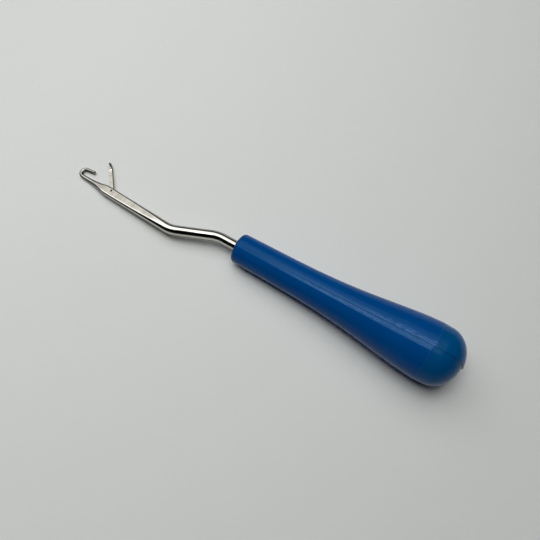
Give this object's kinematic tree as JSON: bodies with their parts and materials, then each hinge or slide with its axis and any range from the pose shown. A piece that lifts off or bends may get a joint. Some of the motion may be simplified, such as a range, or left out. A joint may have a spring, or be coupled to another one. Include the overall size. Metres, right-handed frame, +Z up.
{
  "type": "latch hook",
  "caption": "Latch hook for rug making: a waisted moulded handle on a cranked steel shank whose flattened, slotted head carries a swinging latch behind the hook.",
  "frame": {"origin": "on the table, under the middle of the tool's box as it lies on its side", "axes": "+X from the hook to the butt of the handle, level; +Y to the side that the hook opens to; +Z up from the table"},
  "size_m": [0.1646, 0.0222, 0.0223],
  "materials": {
    "handle": "glossy injection moulding, dark blue",
    "shank": "bright nickel plate, brushed across the pressed flats",
    "latch": "bright nickel plate on a stamped strip",
    "rivet": "closed flush and plated over"
  },
  "bodies": {
    "tool": {"handle": "handle", "shank": "shank", "rivet": "rivet"},
    "latch": {"latch": "latch"}
  },
  "joints": [
    {"name": "latch_swing", "type": "hinge", "parent": "tool", "child": "latch", "pos_m": [-0.06462, -0.00508, 0.00205], "axis": [0.0692, -0.0446, -0.9966], "range_deg": [-27.5, 117.5]}
  ]
}
